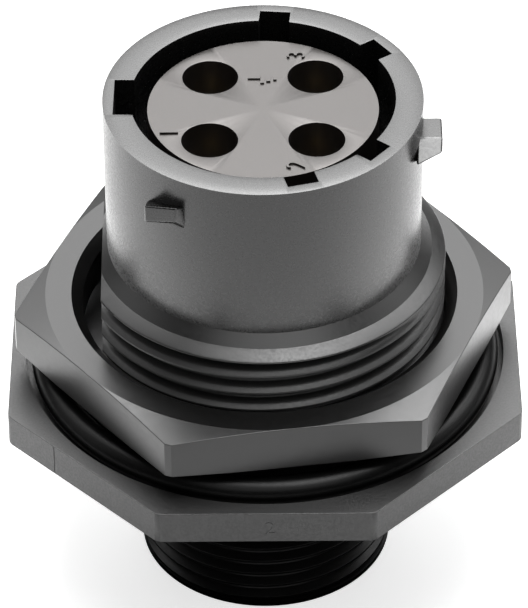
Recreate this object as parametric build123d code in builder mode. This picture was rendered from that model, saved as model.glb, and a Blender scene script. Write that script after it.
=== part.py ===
from build123d import *
import math
import os

# Panel connector receptacle: a keyed barrel with three bayonet lugs, held in a panel by a hex nut,
# with four socket contacts in a hard insert. All sizes in mm. The origin is the middle of the rear
# end face, +Z runs up through the mating face and -Y is the side that faces a viewer in front.

# Heights of the shell, measured up from the rear end face
rim_z = 33.6
barrel_foot_z = 23.35
shoulder_z = 22.7
thread_top_z = 22.45
flange_top_z = 14.55
flange_thickness = 2.2
flange_under_z = flange_top_z - flange_thickness

# Radii of the shell
barrel_r = 9.525
shoulder_step = 0.675
shoulder_r = barrel_r + shoulder_step
panel_thread_r = 11.05
panel_thread_pitch = 1.27
panel_thread_depth = 0.81
panel_thread_lip = 0.05
panel_crest_width = 0.43
flange_across = 31.25
flange_corner_r = 0.6
d_flat_distance = 9.8
rim_round = 0.22
rear_chamfer = 0.15

# Barrel socket with its five keyways: angle from +X, width
barrel_wall = 1.645
barrel_bore_r = barrel_r - barrel_wall
barrel_floor_z = 23.6
keyway_wall = 0.675
keyway_r = barrel_r - keyway_wall
wide_key = 3.5
narrow_key = 1.86
keyways = [(179.2, wide_key), (84.9, narrow_key), (35.2, narrow_key), (-39.5, narrow_key), (-74.9, narrow_key)]

# Bayonet lugs, described for the one that points along +X, then turned to each angle
lug_angles = [0, 120, 240]
lug_depth = 1.5
lug_top_z = rim_z - lug_depth
lug_reach = 1.195
lug_tip_r = barrel_r + lug_reach
lug_sunk = 0.325
lug_root_r = barrel_r - lug_sunk
lug_front_y = -2.13
lug_back_y = -0.12
lug_tip_height = 1.2
lug_root_height = 2.15
lug_root_flare = 0.45

# Inside of the shell below the barrel floor, and the rear end round it
floor_ledge = 0.58
insert_seat_r = barrel_bore_r - floor_ledge
insert_seat_z = 12.6
seat_ledge = 0.7
rear_bore_r = insert_seat_r - seat_ledge
rear_mouth = 0.35
rear_wall = 1.25
rear_thread_r = rear_bore_r + rear_wall

# Panel seal and its groove in the flange
seal_section_r = 0.89
groove_depth = 0.93
groove_inner_r = 12.3
groove_outer_r = 14.75
seal_stand_off = 0.31
seal_mean_r = groove_inner_r + seal_stand_off + seal_section_r

# Hex nut on the panel thread
nut_across = 26.8
nut_height = 2.98
nut_stand_off = 1.62
nut_under_z = flange_top_z + nut_stand_off
nut_turned = 7.4
nut_corner_r = 15.1
nut_chamfer_r = nut_across / 2
nut_chamfer_angle = 10.7
nut_under_chamfer_angle = 5.4
nut_under_land = 0.4
nut_clearance = 0.07
nut_bore_r = panel_thread_r + nut_clearance
nut_mouth_width = 0.69
nut_mouth_r = nut_bore_r + nut_mouth_width
nut_mouth_depth = 0.6
nut_under_mouth_width = 0.49
nut_under_mouth_depth = 0.3

# Clearances
seat_clearance = 0.05
barrel_clearance = 0.08
face_clearance = 0.03

# Hard insert
plug_gap = 1.01
nose_r = barrel_bore_r - plug_gap
insert_face_depth = 0.8
insert_face_z = rim_z - insert_face_depth
insert_collar_z = 24.1
insert_collar_height = 0.9
insert_body_r = insert_seat_r - seat_clearance
insert_collar_r = barrel_bore_r - barrel_clearance
insert_rear_z = 15.2
nose_round = 0.12
cavity_r = 1.68
cavity_wall = 0.735
cavity_pitch = (nose_r - cavity_wall - cavity_r) * math.sqrt(2)
cavity_step_z = 21.5
cavity_rear_r = 2.15
cavities = [(-1, -1, "1"), (1, -1, "2"), (1, 1, "3"), (-1, 1, "earth")]

# Plate that closes the clip pockets
clip_plate_z = insert_seat_z + face_clearance
clip_plate_top_z = insert_rear_z - face_clearance
clip_plate_hole_r = 1.4

# Gasket under the insert collar
gasket_inner_r = insert_seat_r + seat_clearance
gasket_z = barrel_floor_z + face_clearance
gasket_top_z = insert_collar_z - face_clearance

# Split retaining ring above the insert collar
ring_z = insert_collar_z + insert_collar_height + face_clearance
ring_height = 0.6
ring_nose_clearance = 0.28
ring_inner_r = nose_r + ring_nose_clearance
ring_sunk = 0.27
ring_outer_r = barrel_bore_r + ring_sunk
ring_gap = 3.0
ring_groove_r = ring_outer_r + seat_clearance

# Rear wire grommet
grommet_r = rear_bore_r - seat_clearance
grommet_z = 4.2
grommet_top_z = insert_seat_z - face_clearance
grommet_rib_depth = 0.35
grommet_rib_height = 0.9
grommet_ribs = 3
wire_hole_r = 1.1
grommet_pocket_r = 1.35

# Socket contacts
contact_front_z = 29.6
contact_rear_z = 9.2
socket_bore_r = 0.82
socket_bore_depth = 7.0
socket_wall_r = 1.2
contact_rear_r = 1.25
contact_collar_r = 2.0
contact_collar_height = 1.6
contact_collar_top_z = cavity_step_z - face_clearance
contact_neck_r = 1.55
crimp_bore_r = 0.85
crimp_bore_depth = 6.0
crimp_window_r = 0.35
socket_lead = 0.15

# Hood over the socket tines
hood_clearance = 0.04
hood_wall = 0.2
hood_inner_r = socket_wall_r + hood_clearance
hood_outer_r = hood_inner_r + hood_wall
hood_top_z = contact_front_z + 0.2
hood_length = 6.6

# Retention clip behind the contact collar
clip_outer_r = cavity_rear_r - seat_clearance
clip_wall = 0.2
clip_z = insert_rear_z + face_clearance
clip_top_z = contact_collar_top_z - contact_collar_height - face_clearance
clip_slot = 0.5
clip_lip_r = contact_rear_r + 0.08


def ring_profile(points):
    """Closed outline of radius and height pairs on the XZ plane."""
    with BuildSketch(Plane.XZ) as outline:
        with BuildLine():
            Polyline(points, close=True)
        make_face()
    return outline.sketch


def thread_points(crest_r, depth, crest_width, pitch, low_z, high_z):
    """Outline of a thread's grooves at its pitch, from the lowest one up to one that ends at high_z."""
    width = pitch - crest_width
    count = max(0, math.floor((high_z - low_z - width) / pitch) + 1)
    points = []
    for groove in reversed(range(count)):
        top_z = high_z - groove * pitch
        points.append((crest_r, top_z - width))
        points.append((crest_r - depth, top_z - width / 2))
        points.append((crest_r, top_z))
    return points


def lug_section(radius, height, flare):
    """Four-sided section of a lug across its length at one radius."""
    across = Plane(origin=(radius, 0, 0), x_dir=(0, 1, 0), z_dir=(1, 0, 0))
    low_z = lug_top_z - height
    with BuildSketch(across) as section:
        with BuildLine():
            Polyline(
                (lug_front_y, lug_top_z),
                (lug_back_y, lug_top_z),
                (lug_back_y + flare, low_z),
                (lug_front_y - flare, low_z),
                close=True,
            )
        make_face()
    return section.sketch


# The panel thread as rings at its pitch; the rear thread stays plain, at the outside of its crests
panel_thread = thread_points(
    panel_thread_r,
    panel_thread_depth,
    panel_crest_width,
    panel_thread_pitch,
    flange_top_z,
    thread_top_z - panel_thread_lip,
)

# Shell: barrel, shoulder, panel thread, flange and rear thread in one moulding
with BuildPart() as shell:
    add(
        revolve(
            ring_profile(
                [
                    (0, 0),
                    (rear_thread_r - rear_chamfer, 0),
                    (rear_thread_r, rear_chamfer),
                    (rear_thread_r, flange_under_z + flange_thickness / 2),
                    (panel_thread_r, flange_under_z + flange_thickness / 2),
                    *panel_thread,
                    (panel_thread_r, thread_top_z),
                    (shoulder_r, shoulder_z),
                    (barrel_r, barrel_foot_z),
                    (barrel_r, rim_z),
                    (0, rim_z),
                ]
            ),
            axis=Axis.Z,
        )
    )
    rim_edge = shell.edges().filter_by(GeomType.CIRCLE).group_by(Axis.Z)[-1]
    fillet(rim_edge, radius=rim_round)

    with BuildSketch(Plane.XY.offset(flange_under_z)) as flange_plan:
        RegularPolygon(radius=flange_across / 2, side_count=8, major_radius=False, rotation=22.5)
        fillet(flange_plan.vertices(), radius=flange_corner_r)
    extrude(amount=flange_thickness)

    # Flat that stops the receptacle turning in its panel hole
    flat_reach = panel_thread_r - d_flat_distance + 1
    with Locations((-d_flat_distance - flat_reach / 2, 0, (flange_top_z + barrel_foot_z) / 2)):
        Box(flat_reach, 4 * panel_thread_r, barrel_foot_z - flange_top_z, mode=Mode.SUBTRACT)

    # Groove for the panel seal
    with BuildSketch(Plane.XY.offset(flange_top_z)):
        Circle(groove_outer_r)
        Circle(groove_inner_r, mode=Mode.SUBTRACT)
    extrude(amount=-groove_depth, mode=Mode.SUBTRACT)

    # Bayonet lugs
    for lug_angle in lug_angles:
        lug_tip = lug_section(lug_tip_r, lug_tip_height, 0)
        lug_root = lug_section(lug_root_r, lug_root_height, lug_root_flare)
        lug = Solid(loft([lug_root, lug_tip], mode=Mode.PRIVATE).solids()[0].wrapped)
        tip_edges = lug.edges().filter_by(Axis.Z).group_by(Axis.X)[-1]
        lug = lug.fillet(0.2, tip_edges)
        add(lug.rotate(Axis.Z, lug_angle))

    # Keyed barrel socket
    with BuildSketch(Plane.XY.offset(barrel_floor_z)):
        for key_angle, key_width in keyways:
            with Locations(Rot(0, 0, key_angle) * Pos(keyway_r / 2, 0, 0)):
                Rectangle(keyway_r + 1, key_width)
        Circle(keyway_r, mode=Mode.INTERSECT)
        Circle(barrel_bore_r)
    extrude(amount=rim_z - barrel_floor_z, mode=Mode.SUBTRACT)

    # Groove for the split retaining ring
    with BuildSketch(Plane.XY.offset(ring_z - face_clearance)):
        Circle(ring_groove_r)
    extrude(amount=ring_height + 2 * face_clearance, mode=Mode.SUBTRACT)

    # Seat for the insert and bore for the wires
    with BuildSketch(Plane.XY.offset(insert_seat_z)):
        Circle(insert_seat_r)
    extrude(amount=barrel_floor_z - insert_seat_z, mode=Mode.SUBTRACT)
    add(
        revolve(
            ring_profile(
                [
                    (0, 0),
                    (rear_bore_r + rear_mouth, 0),
                    (rear_bore_r, rear_mouth),
                    (rear_bore_r, insert_seat_z),
                    (0, insert_seat_z),
                ]
            ),
            axis=Axis.Z,
            mode=Mode.PRIVATE,
        ),
        mode=Mode.SUBTRACT,
    )

# Hex nut
with BuildPart() as jam_nut:
    with BuildSketch(Plane.XY.offset(nut_under_z)):
        RegularPolygon(radius=nut_across / 2, side_count=6, major_radius=False, rotation=nut_turned)
        Circle(nut_corner_r, mode=Mode.INTERSECT)
    extrude(amount=nut_height)
    nut_top_z = nut_under_z + nut_height
    corner_reach = nut_across / math.sqrt(3) + 0.1
    top_drop = (corner_reach - nut_chamfer_r) * math.tan(math.radians(nut_chamfer_angle))
    under_land_r = nut_chamfer_r + nut_under_land
    under_rise = (corner_reach - under_land_r) * math.tan(math.radians(nut_under_chamfer_angle))
    add(
        revolve(
            ring_profile(
                [
                    (0, nut_under_z),
                    (under_land_r, nut_under_z),
                    (corner_reach, nut_under_z + under_rise),
                    (corner_reach, nut_top_z - top_drop),
                    (nut_chamfer_r, nut_top_z),
                    (0, nut_top_z),
                ]
            ),
            axis=Axis.Z,
            mode=Mode.PRIVATE,
        ),
        mode=Mode.INTERSECT,
    )
    add(
        revolve(
            ring_profile(
                [
                    (0, nut_under_z),
                    (nut_bore_r + nut_under_mouth_width, nut_under_z),
                    (nut_bore_r, nut_under_z + nut_under_mouth_depth),
                    (nut_bore_r, nut_top_z - nut_mouth_depth),
                    (nut_mouth_r, nut_top_z),
                    (0, nut_top_z),
                ]
            ),
            axis=Axis.Z,
            mode=Mode.PRIVATE,
        ),
        mode=Mode.SUBTRACT,
    )

# Rubber ring that seals the panel
with BuildPart() as panel_o_ring:
    seal_z = flange_top_z - groove_depth + face_clearance + seal_section_r
    with Locations((0, 0, seal_z)):
        Torus(seal_mean_r, seal_section_r)

# Hard insert with its four contact cavities
cavity_spots = [(side_x * cavity_pitch / 2, side_y * cavity_pitch / 2) for side_x, side_y, mark in cavities]
with BuildPart() as insert:
    add(
        revolve(
            ring_profile(
                [
                    (0, insert_rear_z),
                    (insert_body_r, insert_rear_z),
                    (insert_body_r, insert_collar_z),
                    (insert_collar_r, insert_collar_z),
                    (insert_collar_r, insert_collar_z + insert_collar_height),
                    (nose_r, insert_collar_z + insert_collar_height),
                    (nose_r, insert_face_z - nose_round),
                    (nose_r - nose_round, insert_face_z),
                    (0, insert_face_z),
                ]
            ),
            axis=Axis.Z,
        )
    )
    with BuildSketch(Plane.XY.offset(cavity_step_z)):
        with Locations(cavity_spots):
            Circle(cavity_r)
    extrude(amount=insert_face_z - cavity_step_z, mode=Mode.SUBTRACT)
    with BuildSketch(Plane.XY.offset(insert_rear_z)):
        with Locations(cavity_spots):
            Circle(cavity_rear_r)
    extrude(amount=cavity_step_z - insert_rear_z, mode=Mode.SUBTRACT)

# Plate behind the insert that closes the clip pockets
with BuildPart() as clip_plate:
    with BuildSketch(Plane.XY.offset(clip_plate_z)):
        Circle(insert_body_r)
        with Locations(cavity_spots):
            Circle(clip_plate_hole_r, mode=Mode.SUBTRACT)
    extrude(amount=clip_plate_top_z - clip_plate_z)

# Gasket between the insert collar and the shell
with BuildPart() as insert_gasket:
    with BuildSketch(Plane.XY.offset(gasket_z)):
        Circle(insert_collar_r)
        Circle(gasket_inner_r, mode=Mode.SUBTRACT)
    extrude(amount=gasket_top_z - gasket_z)

# Split ring that holds the insert down
with BuildPart() as retaining_ring:
    with BuildSketch(Plane.XY.offset(ring_z)):
        Circle(ring_outer_r)
        Circle(ring_inner_r, mode=Mode.SUBTRACT)
        with Locations((0, (ring_inner_r + ring_outer_r) / 2)):
            Rectangle(ring_gap, 2 * (ring_outer_r - ring_inner_r), mode=Mode.SUBTRACT)
    extrude(amount=ring_height)

# Rubber grommet that seals round the wires
with BuildPart() as wire_grommet:
    rib_step = (grommet_top_z - grommet_z - grommet_rib_height) / (grommet_ribs - 1)
    edge_points = [(0, grommet_z)]
    for rib in range(grommet_ribs):
        rib_z = grommet_z + rib * rib_step
        edge_points.append((grommet_r, rib_z))
        edge_points.append((grommet_r, rib_z + grommet_rib_height))
        if rib < grommet_ribs - 1:
            edge_points.append((grommet_r - grommet_rib_depth, rib_z + 1.4 * grommet_rib_height))
            edge_points.append((grommet_r - grommet_rib_depth, rib_z + rib_step - 0.4 * grommet_rib_height))
    edge_points.append((0, grommet_top_z))
    add(revolve(ring_profile(edge_points), axis=Axis.Z))
    with BuildSketch(Plane.XY.offset(grommet_z)):
        with Locations(cavity_spots):
            Circle(wire_hole_r)
    extrude(amount=grommet_top_z - grommet_z, mode=Mode.SUBTRACT)
    with BuildSketch(Plane.XY.offset(grommet_top_z)):
        with Locations(cavity_spots):
            Circle(grommet_pocket_r)
    extrude(amount=contact_rear_z - face_clearance - grommet_top_z, mode=Mode.SUBTRACT)

# One contact, hood and clip on the axis, copied to each cavity further down
with BuildPart() as contact:
    collar_under_z = contact_collar_top_z - contact_collar_height
    add(
        revolve(
            ring_profile(
                [
                    (crimp_bore_r, contact_rear_z),
                    (contact_rear_r, contact_rear_z),
                    (contact_rear_r, collar_under_z),
                    (contact_collar_r, collar_under_z),
                    (contact_collar_r, contact_collar_top_z),
                    (contact_neck_r, contact_collar_top_z),
                    (contact_neck_r, contact_collar_top_z + 0.8),
                    (socket_wall_r, contact_collar_top_z + 1.1),
                    (socket_wall_r, contact_front_z),
                    (socket_bore_r + socket_lead, contact_front_z),
                    (socket_bore_r, contact_front_z - socket_lead),
                    (socket_bore_r, contact_front_z - socket_bore_depth),
                    (0, contact_front_z - socket_bore_depth - 0.4),
                    (0, contact_rear_z + crimp_bore_depth + 0.4),
                    (crimp_bore_r, contact_rear_z + crimp_bore_depth),
                ]
            ),
            axis=Axis.Z,
        )
    )
    with Locations(Pos(0, 0, contact_rear_z + crimp_bore_depth - 0.7) * Rot(90, 0, 0)):
        Cylinder(crimp_window_r, 4 * contact_rear_r, mode=Mode.SUBTRACT)

with BuildPart() as hood:
    with BuildSketch(Plane.XY.offset(hood_top_z - hood_length)):
        Circle(hood_outer_r)
        Circle(hood_inner_r, mode=Mode.SUBTRACT)
    extrude(amount=hood_length)

with BuildPart() as clip:
    with BuildSketch(Plane.XY.offset(clip_z)):
        Circle(clip_outer_r)
        Circle(clip_outer_r - clip_wall, mode=Mode.SUBTRACT)
    extrude(amount=clip_top_z - clip_z)
    with BuildSketch(Plane.XY.offset(clip_z)):
        Circle(clip_outer_r - clip_wall / 2)
        Circle(clip_lip_r, mode=Mode.SUBTRACT)
    extrude(amount=clip_wall)
    with BuildSketch(Plane.XY.offset(clip_z)):
        with Locations((clip_outer_r, 0)):
            Rectangle(2 * clip_outer_r - 0.4, clip_slot)
    extrude(amount=clip_top_z - clip_z, mode=Mode.SUBTRACT)

shell.part.label = "shell"
jam_nut.part.label = "jam_nut"
panel_o_ring.part.label = "panel_o_ring"
insert.part.label = "insert"
clip_plate.part.label = "clip_plate"
insert_gasket.part.label = "insert_gasket"
retaining_ring.part.label = "retaining_ring"
wire_grommet.part.label = "wire_grommet"

os.makedirs("parts", exist_ok=True)
for piece in (shell, jam_nut, panel_o_ring, insert, clip_plate, insert_gasket, retaining_ring, wire_grommet):
    export_step(piece.part, "parts/" + piece.part.label + ".step")

for (spot_x, spot_y), (side_x, side_y, mark) in zip(cavity_spots, cavities):
    outward = math.degrees(math.atan2(spot_y, spot_x))
    for kind, master in (("contact", contact), ("hood", hood), ("clip", clip)):
        placed = Pos(spot_x, spot_y, 0) * Rot(0, 0, outward) * master.part
        placed.label = kind + "_" + mark
        export_step(placed, "parts/" + placed.label + ".step")
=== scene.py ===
# %% [markdown]
# # A panel connector, dressed for its portrait
# The real object is a small moulded receptacle. Its dark plastic shell carries a keyed barrel, a
# long panel thread, an eight-sided flange and a threaded rear end, and a hex nut runs on the
# thread. The construction comes in ready made, at its real size. This lesson gives it what the
# construction leaves plain: the turns of both threads, soft moulded edges, the small marks and
# the finishes.

# %% Load the construction
import bpy
import math
from mathutils import Matrix, Vector


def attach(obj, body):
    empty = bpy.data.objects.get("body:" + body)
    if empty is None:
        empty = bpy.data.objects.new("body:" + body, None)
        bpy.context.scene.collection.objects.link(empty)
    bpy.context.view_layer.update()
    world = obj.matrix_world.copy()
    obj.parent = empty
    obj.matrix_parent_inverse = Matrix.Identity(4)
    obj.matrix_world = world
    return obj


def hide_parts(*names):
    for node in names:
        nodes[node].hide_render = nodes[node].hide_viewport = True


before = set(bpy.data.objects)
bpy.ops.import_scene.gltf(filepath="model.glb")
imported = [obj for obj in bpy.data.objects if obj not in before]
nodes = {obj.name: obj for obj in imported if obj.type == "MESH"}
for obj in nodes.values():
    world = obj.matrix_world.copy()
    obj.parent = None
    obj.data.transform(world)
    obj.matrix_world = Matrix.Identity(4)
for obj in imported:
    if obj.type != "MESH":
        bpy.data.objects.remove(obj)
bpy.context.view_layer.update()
MM = 0.001
print("nodes:", len(nodes))

# %% [markdown]
# ## Helpers for working as by hand
# Every new piece starts from a primitive and is shaped with operators, which act on all that is
# selected. So each helper first clears the selection. A turned part, as from a lathe, is drawn as
# an outline of radius and height in millimetres, one extruded point after another, then spun.

# %% Start clean, draw a line, turn it on the lathe
def start_clean():
    if bpy.context.object and bpy.context.object.mode != "OBJECT":
        bpy.ops.object.mode_set(mode="OBJECT")
    bpy.ops.object.select_all(action="DESELECT")


def hold(piece):
    start_clean()
    piece.select_set(True)
    bpy.context.view_layer.objects.active = piece


def draw_line(name, points):
    """One point is drawn and extruded to the next, in mm on the XZ plane."""
    start_clean()
    bpy.ops.mesh.primitive_plane_add(size=MM)
    piece = bpy.context.object
    piece.name = name
    bpy.ops.object.mode_set(mode="EDIT")
    bpy.ops.mesh.select_mode(type="VERT")
    bpy.ops.mesh.merge(type="CENTER")
    bpy.ops.transform.translate(value=(points[0][0] * MM, 0, points[0][1] * MM))
    for (r0, z0), (r1, z1) in zip(points, points[1:]):
        step = ((r1 - r0) * MM, 0, (z1 - z0) * MM)
        bpy.ops.mesh.extrude_vertices_move(TRANSFORM_OT_translate={"value": step})
    bpy.ops.object.mode_set(mode="OBJECT")
    return piece


def turn(name, outline, steps=144):
    """An outline spun once round the connector's axis. One that starts and ends on the axis is
    solid, any other is closed to a ring."""
    solid = outline[0][0] == 0 and outline[-1][0] == 0
    piece = draw_line(name, outline if solid else outline + outline[:1])
    bpy.ops.object.mode_set(mode="EDIT")
    bpy.ops.mesh.select_all(action="SELECT")
    bpy.ops.mesh.remove_doubles(threshold=1e-7)
    bpy.ops.mesh.spin(steps=steps, angle=2 * math.pi, center=(0, 0, 0), axis=(0, 0, 1))
    bpy.ops.mesh.select_all(action="SELECT")
    bpy.ops.mesh.remove_doubles(threshold=1e-7)
    bpy.ops.mesh.normals_make_consistent(inside=False)
    bpy.ops.object.mode_set(mode="OBJECT")
    return piece


# %% [markdown]
# A piece is cut by another one, which is used up. Bevels and shading follow the cuts, so that they
# also run along the cut edges.

# %% Cut, join, shade
def cut(piece, cutter, how="DIFFERENCE"):
    hold(piece)
    bpy.ops.object.modifier_add(type="BOOLEAN")
    tool = piece.modifiers[-1]
    tool.operation = how
    tool.solver = "EXACT"
    tool.object = cutter
    bpy.ops.object.modifier_apply(modifier=tool.name)
    bpy.data.objects.remove(cutter, do_unlink=True)


def join(name, parts):
    start_clean()
    for part in parts:
        part.select_set(True)
    bpy.context.view_layer.objects.active = parts[0]
    bpy.ops.object.join()
    parts[0].name = name
    return parts[0]


def shade(piece, angle=35):
    hold(piece)
    bpy.ops.object.shade_smooth_by_angle(angle=math.radians(angle))


def dress(piece, material):
    piece.data.materials.clear()
    piece.data.materials.append(material)


def soften(piece, width, angle=40, segments=2):
    """A bevel on every edge that is sharper than the angle."""
    hold(piece)
    bpy.ops.object.modifier_add(type="BEVEL")
    edge = piece.modifiers[-1]
    edge.width = width * MM
    edge.segments = segments
    edge.limit_method = "ANGLE"
    edge.angle_limit = math.radians(angle)
    bpy.ops.object.modifier_apply(modifier=edge.name)


# %% [markdown]
# A cut can leave corners so close together that a bevel between them fails, so they are merged
# first. Blocks and rods are the cutters, and some of them become pieces themselves.

# %% Merge corners, make rods and blocks
def tidy_corners(piece, reach):
    """Merges corners that a cut left closer together than the reach, in mm."""
    hold(piece)
    bpy.ops.object.mode_set(mode="EDIT")
    bpy.ops.mesh.select_all(action="SELECT")
    bpy.ops.mesh.remove_doubles(threshold=reach * MM)
    bpy.ops.object.mode_set(mode="OBJECT")


def even_out(piece):
    """Large faces keep their own direction, so a flat face next to a rounding still looks flat."""
    hold(piece)
    bpy.ops.object.modifier_add(type="WEIGHTED_NORMAL")
    balance = piece.modifiers[-1]
    balance.keep_sharp = True
    balance.weight = 80
    bpy.ops.object.modifier_apply(modifier=balance.name)


def settle(piece):
    """Puts an object's place, turn and size into its mesh."""
    hold(piece)
    bpy.ops.object.transform_apply(location=True, rotation=True, scale=True)


def rod(name, radius, low, high, at=(0, 0), sides=96, turned=0.0):
    """An upright cylinder in mm, or with few sides a prism."""
    start_clean()
    bpy.ops.mesh.primitive_cylinder_add(
        vertices=sides,
        radius=radius * MM,
        depth=(high - low) * MM,
        location=(at[0] * MM, at[1] * MM, (low + high) / 2 * MM),
        rotation=(0, 0, math.radians(turned)),
    )
    piece = bpy.context.object
    piece.name = name
    settle(piece)
    return piece


def block(name, low, high, turned=0.0):
    """A box between two corners in mm, then turned about the connector's axis."""
    start_clean()
    bpy.ops.mesh.primitive_cube_add(size=1)
    piece = bpy.context.object
    piece.name = name
    piece.scale = [(b - a) * MM for a, b in zip(low, high)]
    piece.location = [(a + b) / 2 * MM for a, b in zip(low, high)]
    settle(piece)
    piece.rotation_euler = (0, 0, math.radians(turned))
    settle(piece)
    return piece


def count(piece):
    piece.data.calc_loop_triangles()
    print(piece.name, "triangles:", len(piece.data.loop_triangles))


# %% [markdown]
# ## The barrel
# The barrel is a thick tube with five keyways that let only the right plug in. A tube is turned,
# and then each keyway is cut with a box. The rounding of the edges comes last, so that it runs
# round the rim and every keyway.

# %% Turn the barrel and cut its keyways
RIM = 33.6
BARREL = 9.525
BORE = 7.88
KEY_R = 8.85
KEY_LOW = 26.2
# The direction of each keyway in degrees, and its width.
KEYS = [(179.2, 3.5), (84.9, 1.86), (35.2, 1.86), (-39.5, 1.86), (-74.9, 1.86)]

barrel = turn(
    "barrel",
    [(7.3, 12.6), (7.3, 23.6), (BORE, 23.6), (BORE, 25.0), (8.2, 25.0), (8.2, 25.66)]
    + [(BORE, 25.66), (BORE, RIM), (BARREL, RIM), (BARREL, 23.2), (9.3, 23.0), (9.3, 12.6)],
    steps=180,
)
for angle, width in KEYS:
    cut(barrel, block("key", (5, -width / 2, KEY_LOW), (KEY_R, width / 2, RIM + 1), angle))

soften(barrel, 0.14, angle=50, segments=3)
shade(barrel, 50)
even_out(barrel)
count(barrel)

# %% [markdown]
# ## The bayonet lugs
# Three lugs stand on the barrel and hold the plug's coupling ring. Each is a small block that
# points to one side of the axis. Its tip is shorter than its root and its leading side slopes. A
# cube is given its eight corners one by one, and a bevel rounds all its edges. The lugs stay pieces
# of their own until the shell is joined, because a bevel on a joined mesh is only as wide as its
# shortest edge.

# %% Shape the lugs
LUG_TOP = RIM - 1.5


def lug_block(name, top, bottom, angle=0):
    """A cube whose four top and four bottom corners are moved to their places, in mm."""
    piece = block(name, (-1, -1, -1), (1, 1, 1))
    for v in piece.data.vertices:
        number = (1 if v.co.x > 0 else 0) + (2 if v.co.y > 0 else 0)
        v.co = Vector(top[number] if v.co.z > 0 else bottom[number]) * MM
    soften(piece, 0.13, angle=12, segments=3)
    piece.rotation_euler = (0, 0, math.radians(angle))
    settle(piece)
    shade(piece, 40)
    even_out(piece)
    return piece


lug_top = [(x, y, LUG_TOP) for y in (-2.13, -0.1) for x in (9.1, 10.62)]
lug_low = [(9.02, -3.75, 31.24), (10.56, -3.0, 31.64), (9.1, 0.3, 29.75), (10.6, -0.1, 30.88)]
left_top = [(-6.95, -7.95, 31.65), (-5.05, -8.7, 32.0), (-6.8, -6.5, 31.0), (-4.5, -8.1, 31.8)]
left_low = [(-6.95, -8.0, 30.5), (-5.2, -8.65, 30.95), (-6.8, -6.5, 29.8), (-4.2, -8.1, 29.8)]
lugs = [lug_block("side_lug", lug_top, lug_low), lug_block("back_lug", lug_top, lug_low, 120)]
lugs.append(lug_block("front_lug", left_top, left_low))
print("lugs:", [[round(v / MM, 2) for v in lug.dimensions] for lug in lugs])

# %% [markdown]
# ## The threads
# A thread is a zigzag line that is screwed up the axis: the Screw modifier turns the line once and
# lifts it by one pitch, so each tooth meets the next one's start. The line is longer than the
# thread, and the ragged ends are cut off flat.

# %% Screw a thread
def thread(name, crest, tooth, pitch, crest_at, low, high, steps=180):
    """tooth lists depths under the crest and heights, upward. crest_at is the height of one
    crest on the +X side. The line climbs as it turns from +X to +Y."""
    points = []
    first = math.floor((low - crest_at) / pitch) - 2
    last = math.ceil((high - crest_at) / pitch) + 1
    for number in range(first, last):
        z = crest_at + number * pitch
        points += [(crest - depth, z + height) for depth, height in tooth]
    piece = draw_line(name, points)
    hold(piece)
    bpy.ops.object.modifier_add(type="SCREW")
    screw = piece.modifiers[-1]
    screw.axis = "Z"
    screw.angle = 2 * math.pi
    screw.screw_offset = pitch * MM
    screw.steps = steps
    screw.render_steps = steps
    screw.use_merge_vertices = False
    bpy.ops.object.modifier_apply(modifier=screw.name)
    bpy.ops.object.mode_set(mode="EDIT")
    bpy.ops.mesh.select_all(action="SELECT")
    bpy.ops.mesh.remove_doubles(threshold=1e-6)
    bpy.ops.mesh.normals_make_consistent(inside=False)
    bpy.ops.object.mode_set(mode="OBJECT")
    return piece


def trim(piece, at, normal):
    """Cuts off all that lies beyond a plane, and closes the cut."""
    hold(piece)
    bpy.ops.object.mode_set(mode="EDIT")
    bpy.ops.mesh.select_all(action="SELECT")
    bpy.ops.mesh.bisect(
        plane_co=[v * MM for v in at], plane_no=normal, use_fill=True, clear_outer=True
    )
    bpy.ops.mesh.select_all(action="SELECT")
    bpy.ops.mesh.normals_make_consistent(inside=False)
    bpy.ops.object.mode_set(mode="OBJECT")


# %% [markdown]
# ## The panel thread
# On the real moulding the top groove runs out before it reaches the shoulder, which no operator
# does, so the points there are moved out one by one. The shoulder is a turned ring on top of the
# thread. The flat on the left side comes last, and one box after the other cuts it through both.

# %% The panel thread, its run-out and its flat
CREST = 11.03
PITCH = 1.27
FRONT_CREST = RIM - 12.38
THREAD_LOW = 14.2
THREAD_TOP = 22.25
THREAD_BORE = 9.1
FLAT_X = -9.8
# The groove starts to fade this many degrees to the right of the front, and over so many more.
FADE_FROM = 15
FADE_OVER = 55

tooth = [(0.79, -0.36), (0.73, -0.28), (0.06, -0.1), (0.0, -0.06), (0.02, 0.04)]
tooth += [(0.2, 0.21), (0.33, 0.28), (0.73, 0.4), (0.79, 0.48)]
crest_at = FRONT_CREST + PITCH / 4
panel_thread = thread("panel_thread", CREST, tooth, PITCH, crest_at, THREAD_LOW, THREAD_TOP)
for v in panel_thread.data.vertices:
    angle = math.degrees(math.atan2(v.co.x, -v.co.y))
    r = math.hypot(v.co.x, v.co.y)
    groove_z = FRONT_CREST + PITCH / 2 + PITCH * angle / 360
    over = v.co.z / MM - (groove_z - PITCH / 2)
    fade = 0.0
    if over > 0 and angle > FADE_FROM:
        fade = min(1.0, (angle - FADE_FROM) / FADE_OVER)
    if over > 0 and angle < -180 + 1e-6:
        fade = 1.0
    if over > PITCH:
        fade = 1.0
    wanted = r + (CREST * MM - r) * fade * fade * (3 - 2 * fade)
    v.co.x *= wanted / r
    v.co.y *= wanted / r
trim(panel_thread, (0, 0, THREAD_TOP), (0, 0, 1))
trim(panel_thread, (0, 0, THREAD_LOW), (0, 0, -1))
cut(panel_thread, rod("inside", THREAD_BORE, 10, 30))

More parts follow.
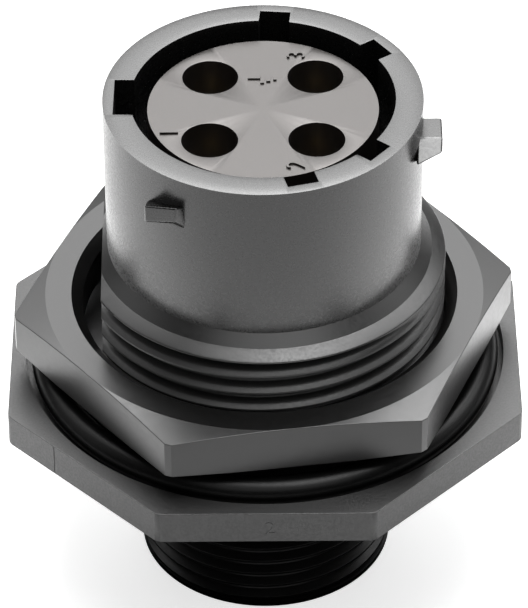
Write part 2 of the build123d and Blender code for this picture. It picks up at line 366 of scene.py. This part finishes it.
shoulder = turn(
    "shoulder",
    [(THREAD_BORE, 21.4), (THREAD_BORE, 23.3), (9.5, 23.36), (10.2, 22.69), (10.93, 22.36)]
    + [(11.0, 22.31), (CREST, 22.27), (CREST, 22.23), (10.98, 22.2), (10.28, 22.0), (10.2, 21.4)],
    steps=180,
)
for piece in (panel_thread, shoulder):
    cut(piece, block("flat", (-20, -20, 10), (FLAT_X, 20, 30)))
shade(panel_thread, 28)
shade(shoulder, 16)
even_out(shoulder)
count(panel_thread)

# %% [markdown]
# ## The rear end
# The rear end carries a finer thread for the cable clamp. It is screwed in the same way, closed at
# the bottom with a flat end and bored through for the wires. A plain ring as wide as the crests
# ends it, so that its rim on the table is a clean circle.

# %% Screw and bore the rear end
REAR_CREST = 7.83
REAR_TOP = 12.5
REAR_BORE = 6.6
RING_BORE = 6.97
RING_LOW = 0.32
RING_TOP = 0.5

tooth = [(0.55, -0.42), (0.5, -0.36), (0.02, -0.09), (0.0, -0.05)]
tooth += [(depth, -height) for depth, height in reversed(tooth)]
rear = thread("rear", REAR_CREST, tooth, 1.0, 0.93, 0.0, REAR_TOP, steps=144)
trim(rear, (0, 0, REAR_TOP), (0, 0, 1))
trim(rear, (0, 0, 0.03), (0, 0, -1))
cut(rear, turn("bore", [(0, -1), (7.95, -1), (REAR_BORE, 0.35), (REAR_BORE, 13), (0, 13)]))
# A cut can leave a stray point under the table.
for v in rear.data.vertices:
    v.co.z = max(v.co.z, 0.0)
print("lowest point of the rear end, in mm:", min(v.co.z for v in rear.data.vertices) / MM)
foot = turn(
    "foot",
    [(RING_BORE, 0), (REAR_CREST, 0), (REAR_CREST, RING_LOW)]
    + [(7.2, RING_TOP), (RING_BORE, RING_TOP)],
)
rear = join("rear", [rear, foot])
shade(rear, 20)
count(rear)

# %% [markdown]
# ## The flange
# The flange is an eight-sided plate. Its corners are bevelled first, then its rims, because the
# order of the two decides how the roundings meet. A groove in its top holds the sealing ring.

# %% Shape the flange
FLANGE_TOP = 14.55
FLANGE_LOW = 12.35
ACROSS = 31.25


def pick_edges(piece, test):
    """Selects the edges whose two ends pass the test, given in mm."""
    hold(piece)
    bpy.ops.object.mode_set(mode="EDIT")
    bpy.ops.mesh.select_all(action="DESELECT")
    bpy.ops.mesh.select_mode(type="EDGE")
    bpy.ops.object.mode_set(mode="OBJECT")
    for edge in piece.data.edges:
        a, b = [piece.data.vertices[i].co / MM for i in edge.vertices]
        edge.select = test(a, b)
    bpy.ops.object.mode_set(mode="EDIT")


corner_r = ACROSS / 2 / math.cos(math.pi / 8)
flange = rod("flange", corner_r, FLANGE_LOW, FLANGE_TOP, sides=8, turned=22.5)
pick_edges(flange, lambda a, b: abs(a.z - b.z) > 1)
bpy.ops.mesh.bevel(offset=0.25 * MM, segments=4)
pick_edges(flange, lambda a, b: abs(a.z - b.z) < 0.01)
bpy.ops.mesh.bevel(offset=0.06 * MM, segments=2)
bpy.ops.object.mode_set(mode="OBJECT")
cut(flange, rod("hole", 7.0, 10, 16))
groove = turn("groove", [(12.3, 13.62), (14.75, 13.62), (14.75, 15), (12.3, 15)], steps=180)
cut(flange, groove)
shade(flange, 40)
even_out(flange)
count(flange)

# %% [markdown]
# ## Small traces of the mould
# A cavity number stands on the flange's front side and the mould's parting line on one slanted
# side. They are tiny, but an eye that looks closely finds them, so they are made as raised marks.
# A figure of the font is 1 / 1.37 of its size high, and it is drawn a hair thinner than usual.

# %% Raise a number and the parting line
FONT_SIZE = 1.37
THINNER = 0.008


def letter(text, height, thickness):
    start_clean()
    bpy.ops.object.text_add()
    piece = bpy.context.object
    piece.data.body = text
    piece.data.align_x = "CENTER"
    piece.data.align_y = "CENTER"
    piece.data.size = height * FONT_SIZE * MM
    piece.data.extrude = thickness / 2 * MM
    piece.data.offset = -THINNER * MM
    piece.data.resolution_u = 3
    bpy.ops.object.convert(target="MESH")
    return bpy.context.object


cavity_mark = letter("2", 0.95, 0.1)
cavity_mark.name = "cavity_mark"
cavity_mark.rotation_euler = (math.radians(90), 0, 0)
cavity_mark.location = (0.24 * MM, -15.6 * MM, 13.35 * MM)
settle(cavity_mark)
parting = block(
    "parting", (15.5, -2.5, FLANGE_LOW + 0.15), (15.65, -2.4, FLANGE_TOP - 0.15), -135
)
print("cavity mark, in mm:", [round(v / MM, 2) for v in cavity_mark.dimensions])

# %% [markdown]
# ## One moulding
# All of this is one moulding, so its parts are joined. Before that each part puts on a placeholder
# skin, by which the joined mesh remembers where the four finishes of the shell go later.

# %% Join the shell
places = {
    "smooth place": [barrel] + lugs,
    "satin place": [shoulder],
    "grained place": [panel_thread, flange, cavity_mark, parting],
    # The rear end gets a darker, less glossy skin: painted shade for the flange's shadow on it.
    "rear painted shade place": [rear],
}
for place_name, parts in places.items():
    skin = bpy.data.materials.new(place_name)
    for part in parts:
        dress(part, skin)
shell = join(
    "shell_moulding",
    [barrel, rear] + lugs + [shoulder, panel_thread, flange, cavity_mark, parting],
)
print("shell skins:", [skin.name for skin in shell.data.materials])
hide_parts("shell")
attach(shell, "receptacle")
count(shell)

# %% [markdown]
# ## The jam nut
# A hex nut with a turned chamfer: a hexagonal prism is cut to a turned body, so the six sides end
# in the curves that a lathe leaves on a real nut. Its mouth is opened by another turned body.

# %% Cut the nut
NUT_ACROSS = 26.8
NUT_LOW = 16.17
NUT_TOP = 19.15
NUT_TURN = 8.0
NUT_BORE = 11.12
# The turned body's radius, and where its top and its underside stop being level.
BODY_R = 15.35
TOP_R = 13.4
LOW_R = 13.8

nut = rod(
    "jam_nut_dressed", NUT_ACROSS / math.sqrt(3), NUT_LOW, NUT_TOP, sides=6, turned=30 + NUT_TURN
)
drop = (BODY_R - TOP_R) * math.tan(math.radians(10.7))
rise = (BODY_R - LOW_R) * math.tan(math.radians(5.4))
turned_body = turn(
    "turned_body",
    [(0, NUT_LOW), (LOW_R, NUT_LOW), (BODY_R, NUT_LOW + rise)]
    + [(BODY_R, NUT_TOP - drop), (TOP_R, NUT_TOP), (0, NUT_TOP)],
    steps=192,
)
cut(nut, turned_body, "INTERSECT")
mouth = turn(
    "mouth",
    [(0, NUT_LOW - 1), (11.65, NUT_LOW - 1), (11.61, NUT_LOW), (NUT_BORE, NUT_LOW + 0.3)]
    + [(NUT_BORE, NUT_TOP - 0.6), (11.81, NUT_TOP), (11.9, NUT_TOP + 1), (0, NUT_TOP + 1)],
    steps=192,
)
cut(nut, mouth)
tidy_corners(nut, 0.03)
soften(nut, 0.09, angle=45, segments=3)
shade(nut, 8)
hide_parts("jam_nut")
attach(nut, "nut")
count(nut)

# %% [markdown]
# ## The sealing ring
# A moulded rubber ring always has a fine line where the two halves of its mould met. The ring is a
# torus, and its outermost and innermost loops are pushed out by a hair to leave that line.

# %% Mould the ring
SEAL_R = 13.5
SEAL_Z = 14.54
SEAL_THICK = 1.78
LINE_HIGH = 0.02

start_clean()
bpy.ops.mesh.primitive_torus_add(
    major_radius=SEAL_R * MM,
    minor_radius=SEAL_THICK / 2 * MM,
    major_segments=180,
    minor_segments=40,
    location=(0, 0, SEAL_Z * MM),
)
seal = bpy.context.object
seal.name = "panel_seal"
settle(seal)
for v in seal.data.vertices:
    if abs(v.co.z / MM - SEAL_Z) < 0.02:
        r = math.hypot(v.co.x, v.co.y)
        push = LINE_HIGH * MM if r > SEAL_R * MM else -LINE_HIGH * MM
        v.co.x *= (r + push) / r
        v.co.y *= (r + push) / r
shade(seal, 60)
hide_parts("panel_o_ring")
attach(seal, "receptacle")
count(seal)

# %% [markdown]
# ## The insert
# The insert is a hard plug of plastic with four holes for the plug's pins. It is turned, the holes
# are bored with rods, and the rims are softened.

# %% Turn and bore the insert
FACE = 32.8
NOSE = 6.87
HOLE_R = 1.68
POCKET_R = 2.15
POCKET_TOP = 21.5
HOLES = [(-3.15, -3.15), (3.15, -3.15), (3.15, 3.15), (-3.15, 3.15)]

insert = turn(
    "insert_dressed",
    [(0, 15.2), (7.25, 15.2), (7.25, 24.1), (7.8, 24.1), (7.8, 25.0), (NOSE, 25.0)]
    + [(NOSE, FACE), (0, FACE)],
    steps=144,
)
for x, y in HOLES:
    cut(insert, rod("hole", HOLE_R, POCKET_TOP, 40, (x, y), 64))
    cut(insert, rod("pocket", POCKET_R, 10, POCKET_TOP, (x, y), 64))
soften(insert, 0.1, angle=50, segments=3)
shade(insert, 50)
even_out(insert)

# %% [markdown]
# The marks on the insert's face are shallow figures beside three holes, and an earth sign of four
# short bars beside the fourth.

# %% Set the marks on its face
def face_mark(text, x, y):
    mark = letter(text, 1.18, 0.24)
    mark.rotation_euler = (0, 0, math.radians(90))
    mark.location = (x * MM, y * MM, FACE * MM)
    settle(mark)
    return mark


marks = [face_mark("1", -5.49, -2.43), face_mark("2", 1.95, -5.66), face_mark("3", 2.06, 5.33)]
for x_low, x_high, y_low, y_high in [
    (-0.9, -0.12, 2.9, 3.06),
    (-0.15, 0.07, 2.44, 3.5),
    (0.21, 0.45, 2.62, 3.4),
    (0.62, 0.82, 2.76, 3.26),
]:
    marks.append(block("earth_line", (x_low, y_low, FACE - 0.1), (x_high, y_high, FACE + 0.1)))
marks = join("insert_marks", marks)
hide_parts("insert")
for piece in (insert, marks):
    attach(piece, "receptacle")
count(insert)

# %% [markdown]
# ## Finishes
# The shell and the nut are a dark moulded plastic with a satin skin. Its gloss makes it look light
# where it faces the bright studio and nearly black where it faces the dark. Fine grain breaks up
# the gloss. The shell has four skins: a smooth barrel, a satin shoulder, a grained flange and
# thread, and on the rear end a darker, less glossy copy of the same plastic, which is painted shade
# for the flange's shadow. Each finish is a Principled shader, with noise for tone, roughness and a
# little bump.

# %% Mix a moulded plastic
def set_sockets(node, **sockets):
    """Sets a node's sockets by name, with an underscore for each space."""
    for socket, value in sockets.items():
        node.inputs[socket.replace("_", " ")].default_value = value
    return node


def plastic(name, dark, light, rough_low, rough_high, grain=0.12, bump=0.25, cloud=4.0, **sockets):
    """grain and cloud are the sizes in mm of the fine and the wide pattern."""
    material = bpy.data.materials.new(name)
    material.use_nodes = True
    tree = material.node_tree
    new, link = tree.nodes.new, tree.links.new
    shader = set_sockets(tree.nodes["Principled BSDF"], **sockets)
    where = new("ShaderNodeTexCoord")
    fine = set_sockets(new("ShaderNodeTexNoise"), Scale=1 / (grain * MM), Detail=3)
    wide = set_sockets(new("ShaderNodeTexNoise"), Scale=1 / (cloud * MM), Detail=4)
    tone = set_sockets(new("ShaderNodeMapRange"), From_Min=0.3, From_Max=0.7)
    mix = new("ShaderNodeMix")
    mix.data_type = "RGBA"
    set_sockets(mix, A=(*dark, 1), B=(*light, 1))
    rough = set_sockets(new("ShaderNodeMapRange"), From_Min=0.35, From_Max=0.65)
    set_sockets(rough, To_Min=rough_low, To_Max=rough_high)
    relief = set_sockets(new("ShaderNodeBump"), Strength=bump, Distance=grain * MM * 0.2)
    link(where.outputs["Object"], fine.inputs["Vector"])
    link(where.outputs["Object"], wide.inputs["Vector"])
    link(wide.outputs["Fac"], tone.inputs["Value"])
    link(tone.outputs["Result"], mix.inputs["Factor"])
    link(mix.outputs["Result"], shader.inputs["Base Color"])
    link(fine.outputs["Fac"], rough.inputs["Value"])
    link(rough.outputs["Result"], shader.inputs["Roughness"])
    link(fine.outputs["Fac"], relief.inputs["Height"])
    link(relief.outputs["Normal"], shader.inputs["Normal"])
    return material


# %% [markdown]
# The blacks are far darker than the photograph's greys, because a polished black takes its grey
# from the gloss. The roughness sets how wide that gloss spreads, and the IOR how strong it is.

# %% Dress the pieces that are seen
BLACK = (0.0026, 0.0025, 0.0024)
SOFT_BLACK = (0.0036, 0.0034, 0.0033)
skins = {
    "smooth place": plastic(
        "smooth black plastic", BLACK, SOFT_BLACK, 0.25, 0.32, grain=0.2, bump=0.04, IOR=1.62
    ),
    "satin place": plastic(
        "satin black plastic", BLACK, SOFT_BLACK, 0.32, 0.42, grain=0.16, bump=0.1, IOR=1.6
    ),
    "grained place": plastic(
        "grained black plastic", BLACK, SOFT_BLACK, 0.42, 0.54, grain=0.14, bump=0.1, IOR=1.6
    ),
    # The rear end's skin is darker and less glossy than the rest of the shell: painted shade for
    # the flange's shadow on it.
    "rear painted shade place": plastic(
        "painted shade black plastic", (0.0015,) * 3, (0.002,) * 3, 0.3, 0.4, bump=0.05, IOR=1.3
    ),
}
nut_plastic = plastic("nut plastic", BLACK, SOFT_BLACK, 0.29, 0.33, grain=0.3, bump=0.005, IOR=1.5)
insert_plastic = plastic(
    "insert plastic",
    (0.01, 0.0078, 0.0065),
    (0.012, 0.0092, 0.0075),
    0.28,
    0.36,
    bump=0.03,
    IOR=1.6,
    Specular_Tint=(1.0, 0.955, 0.93, 1),
)
seal_rubber = plastic("seal rubber", (0.002,) * 3, (0.003,) * 3, 0.3, 0.38, bump=0.05, IOR=1.24)
grommet_rubber = plastic("grommet rubber", (0.03,) * 3, (0.045,) * 3, 0.55, 0.7)
for number, place_holder in enumerate(list(shell.data.materials)):
    shell.data.materials[number] = skins[place_holder.name]
dress(nut, nut_plastic)
dress(insert, insert_plastic)
dress(marks, insert_plastic)
dress(seal, seal_rubber)
print("shell skins now:", [skin.name for skin in shell.data.materials])

# %% [markdown]
# The contacts are plated, their hoods and the retaining ring are steel, and the clips are spring
# bronze. The same mix serves for metals, with its Metallic socket at 1.

# %% Metals and hidden pieces
# The contacts' gold is far darker than plating: painted shade for the deep holes they sit in.
shade_darkened_gold = plastic(
    "plated contact", (0.16, 0.11, 0.045), (0.2, 0.14, 0.06), 0.3, 0.4, bump=0.05, Metallic=1.0
)
steel = plastic("bright steel", (0.55,) * 3, (0.65,) * 3, 0.22, 0.36, bump=0.08, Metallic=1.0)
bronze = plastic(
    "spring bronze", (0.6, 0.42, 0.25), (0.7, 0.5, 0.3), 0.25, 0.4, bump=0.05, Metallic=1.0
)
for name, node in nodes.items():
    if name.startswith("contact_"):
        dress(node, shade_darkened_gold)
    elif name.startswith("hood_") or name == "retaining_ring":
        dress(node, steel)
    elif name == "clip_plate":
        dress(node, insert_plastic)
    elif name.startswith("clip_"):
        dress(node, bronze)
    elif name == "insert_gasket":
        dress(node, seal_rubber)
    elif name == "wire_grommet":
        dress(node, grommet_rubber)
print("materials:", len(bpy.data.materials))

# %% [markdown]
# ## Studio
# The connector stands on a round white table in a pale, dim room. A wide soft light hangs behind it
# and another above it, and they give the level faces their sheen. The upright faces mirror the
# table instead. Close to the connector the table is painted black for all but camera rays, a
# painted shadow of the connector, so the faces near its foot look nearly black. The camera sees the
# table as plain white, and only mirror rays see the painted glow on it, which changes with the
# place.

# %% Lay the table
SEEN_GLOW = 0.62
WHITE = 0.9

start_clean()
bpy.ops.mesh.primitive_circle_add(
    vertices=96, radius=0.45, fill_type="NGON", location=(0, 0, -0.00002)
)
table = bpy.context.object
table.name = "table"
paint = bpy.data.materials.new("white table")
paint.use_nodes = True
tree = paint.node_tree
cover = set_sockets(
    tree.nodes["Principled BSDF"],
    Roughness=0.9,
    Specular_IOR_Level=0.0,
    Emission_Color=(1, 1, 1, 1),
)


def soft_step(tree, value, low, high, start, end):
    """Goes from start to end, as the value goes from low to high."""
    step = tree.nodes.new("ShaderNodeMapRange")
    step.interpolation_type = "SMOOTHSTEP"
    set_sockets(step, From_Min=low, From_Max=high, To_Min=start, To_Max=end)
    tree.links.new(value, step.inputs["Value"])
    return step.outputs["Result"]


def figure(tree, kind, *values):
    """A sum, product or other figure made of numbers and of other nodes' results."""
    sum_node = tree.nodes.new("ShaderNodeMath")
    sum_node.operation = kind
    for socket, value in zip(sum_node.inputs, values):
        if isinstance(value, float):
            socket.default_value = value
        else:
            tree.links.new(value, socket)
    return sum_node.outputs["Value"]


place = tree.nodes.new("ShaderNodeTexCoord").outputs["Object"]
apart = tree.nodes.new("ShaderNodeSeparateXYZ")
distance = tree.nodes.new("ShaderNodeVectorMath")
distance.operation = "LENGTH"
tree.links.new(place, apart.inputs["Vector"])
tree.links.new(place, distance.inputs[0])
kind_of_ray = tree.nodes.new("ShaderNodeLightPath")
seen = kind_of_ray.outputs["Is Camera Ray"]
mirrored = kind_of_ray.outputs["Is Glossy Ray"]
# Inside about 25 mm the table's colour is black and its glow is zero for all but camera rays: a
# painted shadow of the connector.
outside_painted_shadow = soft_step(tree, distance.outputs["Value"], 0.022, 0.028, 0.0, 1.0)
# For mirror rays the table has a painted glow, brightest in a ring just outside the painted shadow
# and stronger toward the back.
painted_bright_ring = soft_step(tree, distance.outputs["Value"], 0.031, 0.041, 2.3, 1.0)
painted_light_toward_back = soft_step(tree, apart.outputs["Y"], -0.045, -0.008, 0.52, 1.06)
shape = figure(tree, "MULTIPLY", outside_painted_shadow, figure(tree, "MULTIPLY", painted_bright_ring, painted_light_toward_back))
glow = figure(tree, "MULTIPLY", shape, mirrored)
lift = figure(tree, "ADD", glow, figure(tree, "MULTIPLY", seen, SEEN_GLOW))
# The colour is white for camera rays, and black inside the painted shadow for all other rays.
white = figure(tree, "MULTIPLY", figure(tree, "MAXIMUM", outside_painted_shadow, seen), WHITE)
tree.links.new(white, cover.inputs["Base Color"])
tree.links.new(lift, cover.inputs["Emission Strength"])
dress(table, paint)
print("table nodes:", len(tree.nodes))

# %% [markdown]
# The room round the table is pale. The camera sees it white, plain light from it is weaker, and
# mirror rays find it darker still, so that the lamps alone draw the gloss.

# %% Light the room
world = bpy.data.worlds.new("studio")
bpy.context.scene.world = world
world.use_nodes = True
air = world.node_tree
sky = set_sockets(air.nodes["Background"], Color=(1, 1, 1, 1))
kind_of_ray = air.nodes.new("ShaderNodeLightPath")
level = set_sockets(air.nodes.new("ShaderNodeMapRange"), To_Min=0.3, To_Max=1.0)
dim = set_sockets(air.nodes.new("ShaderNodeMapRange"), To_Min=1.0, To_Max=0.15)
air.links.new(kind_of_ray.outputs["Is Camera Ray"], level.inputs["Value"])
air.links.new(kind_of_ray.outputs["Is Glossy Ray"], dim.inputs["Value"])
strength = figure(air, "MULTIPLY", level.outputs["Result"], dim.outputs["Result"])
air.links.new(strength, sky.inputs["Strength"])
print("room nodes:", len(air.nodes))

# %% [markdown]
# ## Lamps
# Four flat lamps light the connector: the wide one behind it, one above, and a weak one on each
# side, which keeps the upright faces at the sides from going black.

# %% Hang the lamps
def soft_light(name, place, aim, width, height, radiance):
    """A flat lamp whose face has the given brightness."""
    lamp = bpy.data.lights.new(name, "AREA")
    lamp.shape = "RECTANGLE"
    lamp.size = width
    lamp.size_y = height
    lamp.energy = radiance * math.pi * width * height
    holder = bpy.data.objects.new(name, lamp)
    bpy.context.scene.collection.objects.link(holder)
    holder.location = place
    holder.rotation_euler = (Vector(aim) - Vector(place)).to_track_quat("-Z", "Y").to_euler()
    holder.visible_camera = False
    return holder


middle = (0, 0, 0.02)
lamps = [
    soft_light("back light", (0, 0.375, 0.36), middle, 0.46, 0.34, 2.9),
    soft_light("top light", (0, -0.02, 0.5), middle, 0.3, 0.3, 4.3),
    soft_light("left light", (-0.45, 0.05, 0.25), middle, 0.3, 0.3, 0.8),
    soft_light("right light", (0.45, 0.05, 0.25), middle, 0.3, 0.3, 1.2),
]
print("lamps:", [holder.name for holder in lamps])

# %% [markdown]
# ## Ceiling panels
# Six more panels fill the gaps between the lamps. They stand for the white ceiling of a studio,
# which a glossy thing shows but which hardly lights it, so only glossy rays see them.

# %% Ceiling panels
ceiling = [
    soft_light("back core", (0, 0.37, 0.352), middle, 0.15, 0.3, 1.6),
    soft_light("ceiling behind", (0, 0.28, 0.46), middle, 0.42, 0.17, 8.0),
    soft_light("ceiling left", (-0.3, 0.2, 0.42), middle, 0.24, 0.34, 2.3),
    soft_light("ceiling right", (0.3, 0.2, 0.42), middle, 0.24, 0.34, 5.0),
    soft_light("ceiling in front", (0.04, -0.3, 0.4), middle, 0.5, 0.32, 1.6),
    soft_light("ceiling above", (0.08, 0.04, 0.51), middle, 0.5, 0.28, 6.5),
]
for panel in ceiling:
    panel.visible_diffuse = False
print("ceiling panels:", len(ceiling))

# %% [markdown]
# ## Camera
# The camera stands about 0.3 m away with a very long lens, so that the picture is nearly free of
# perspective. Its place and directions were fitted to the edges of the connector.

# %% Aim the camera
SENSOR = 36
HEIGHT = 608
FOCAL = 4467.4
SHIFT_UP = -47.31

eye = bpy.data.cameras.new("camera")
camera = bpy.data.objects.new("camera", eye)
bpy.context.scene.collection.objects.link(camera)
bpy.context.scene.camera = camera
right = Vector((0.999975, -0.004376, -0.005569)).normalized()
forward = Vector((0.0, 0.786307, -0.617836)).normalized()
up = right.cross(forward).normalized()
turned = Matrix((right, up, -forward)).transposed()
camera.matrix_world = Matrix.Translation((-0.000005, -0.213789, 0.189584)) @ turned.to_4x4()
eye.sensor_fit = "VERTICAL"
eye.sensor_width = SENSOR
eye.sensor_height = SENSOR
eye.lens = FOCAL * SENSOR / HEIGHT
eye.shift_y = SHIFT_UP / HEIGHT
eye.clip_start = 0.01
eye.clip_end = 10

bpy.context.scene.view_settings.view_transform = "Standard"
print("lens in mm:", round(eye.lens, 1))
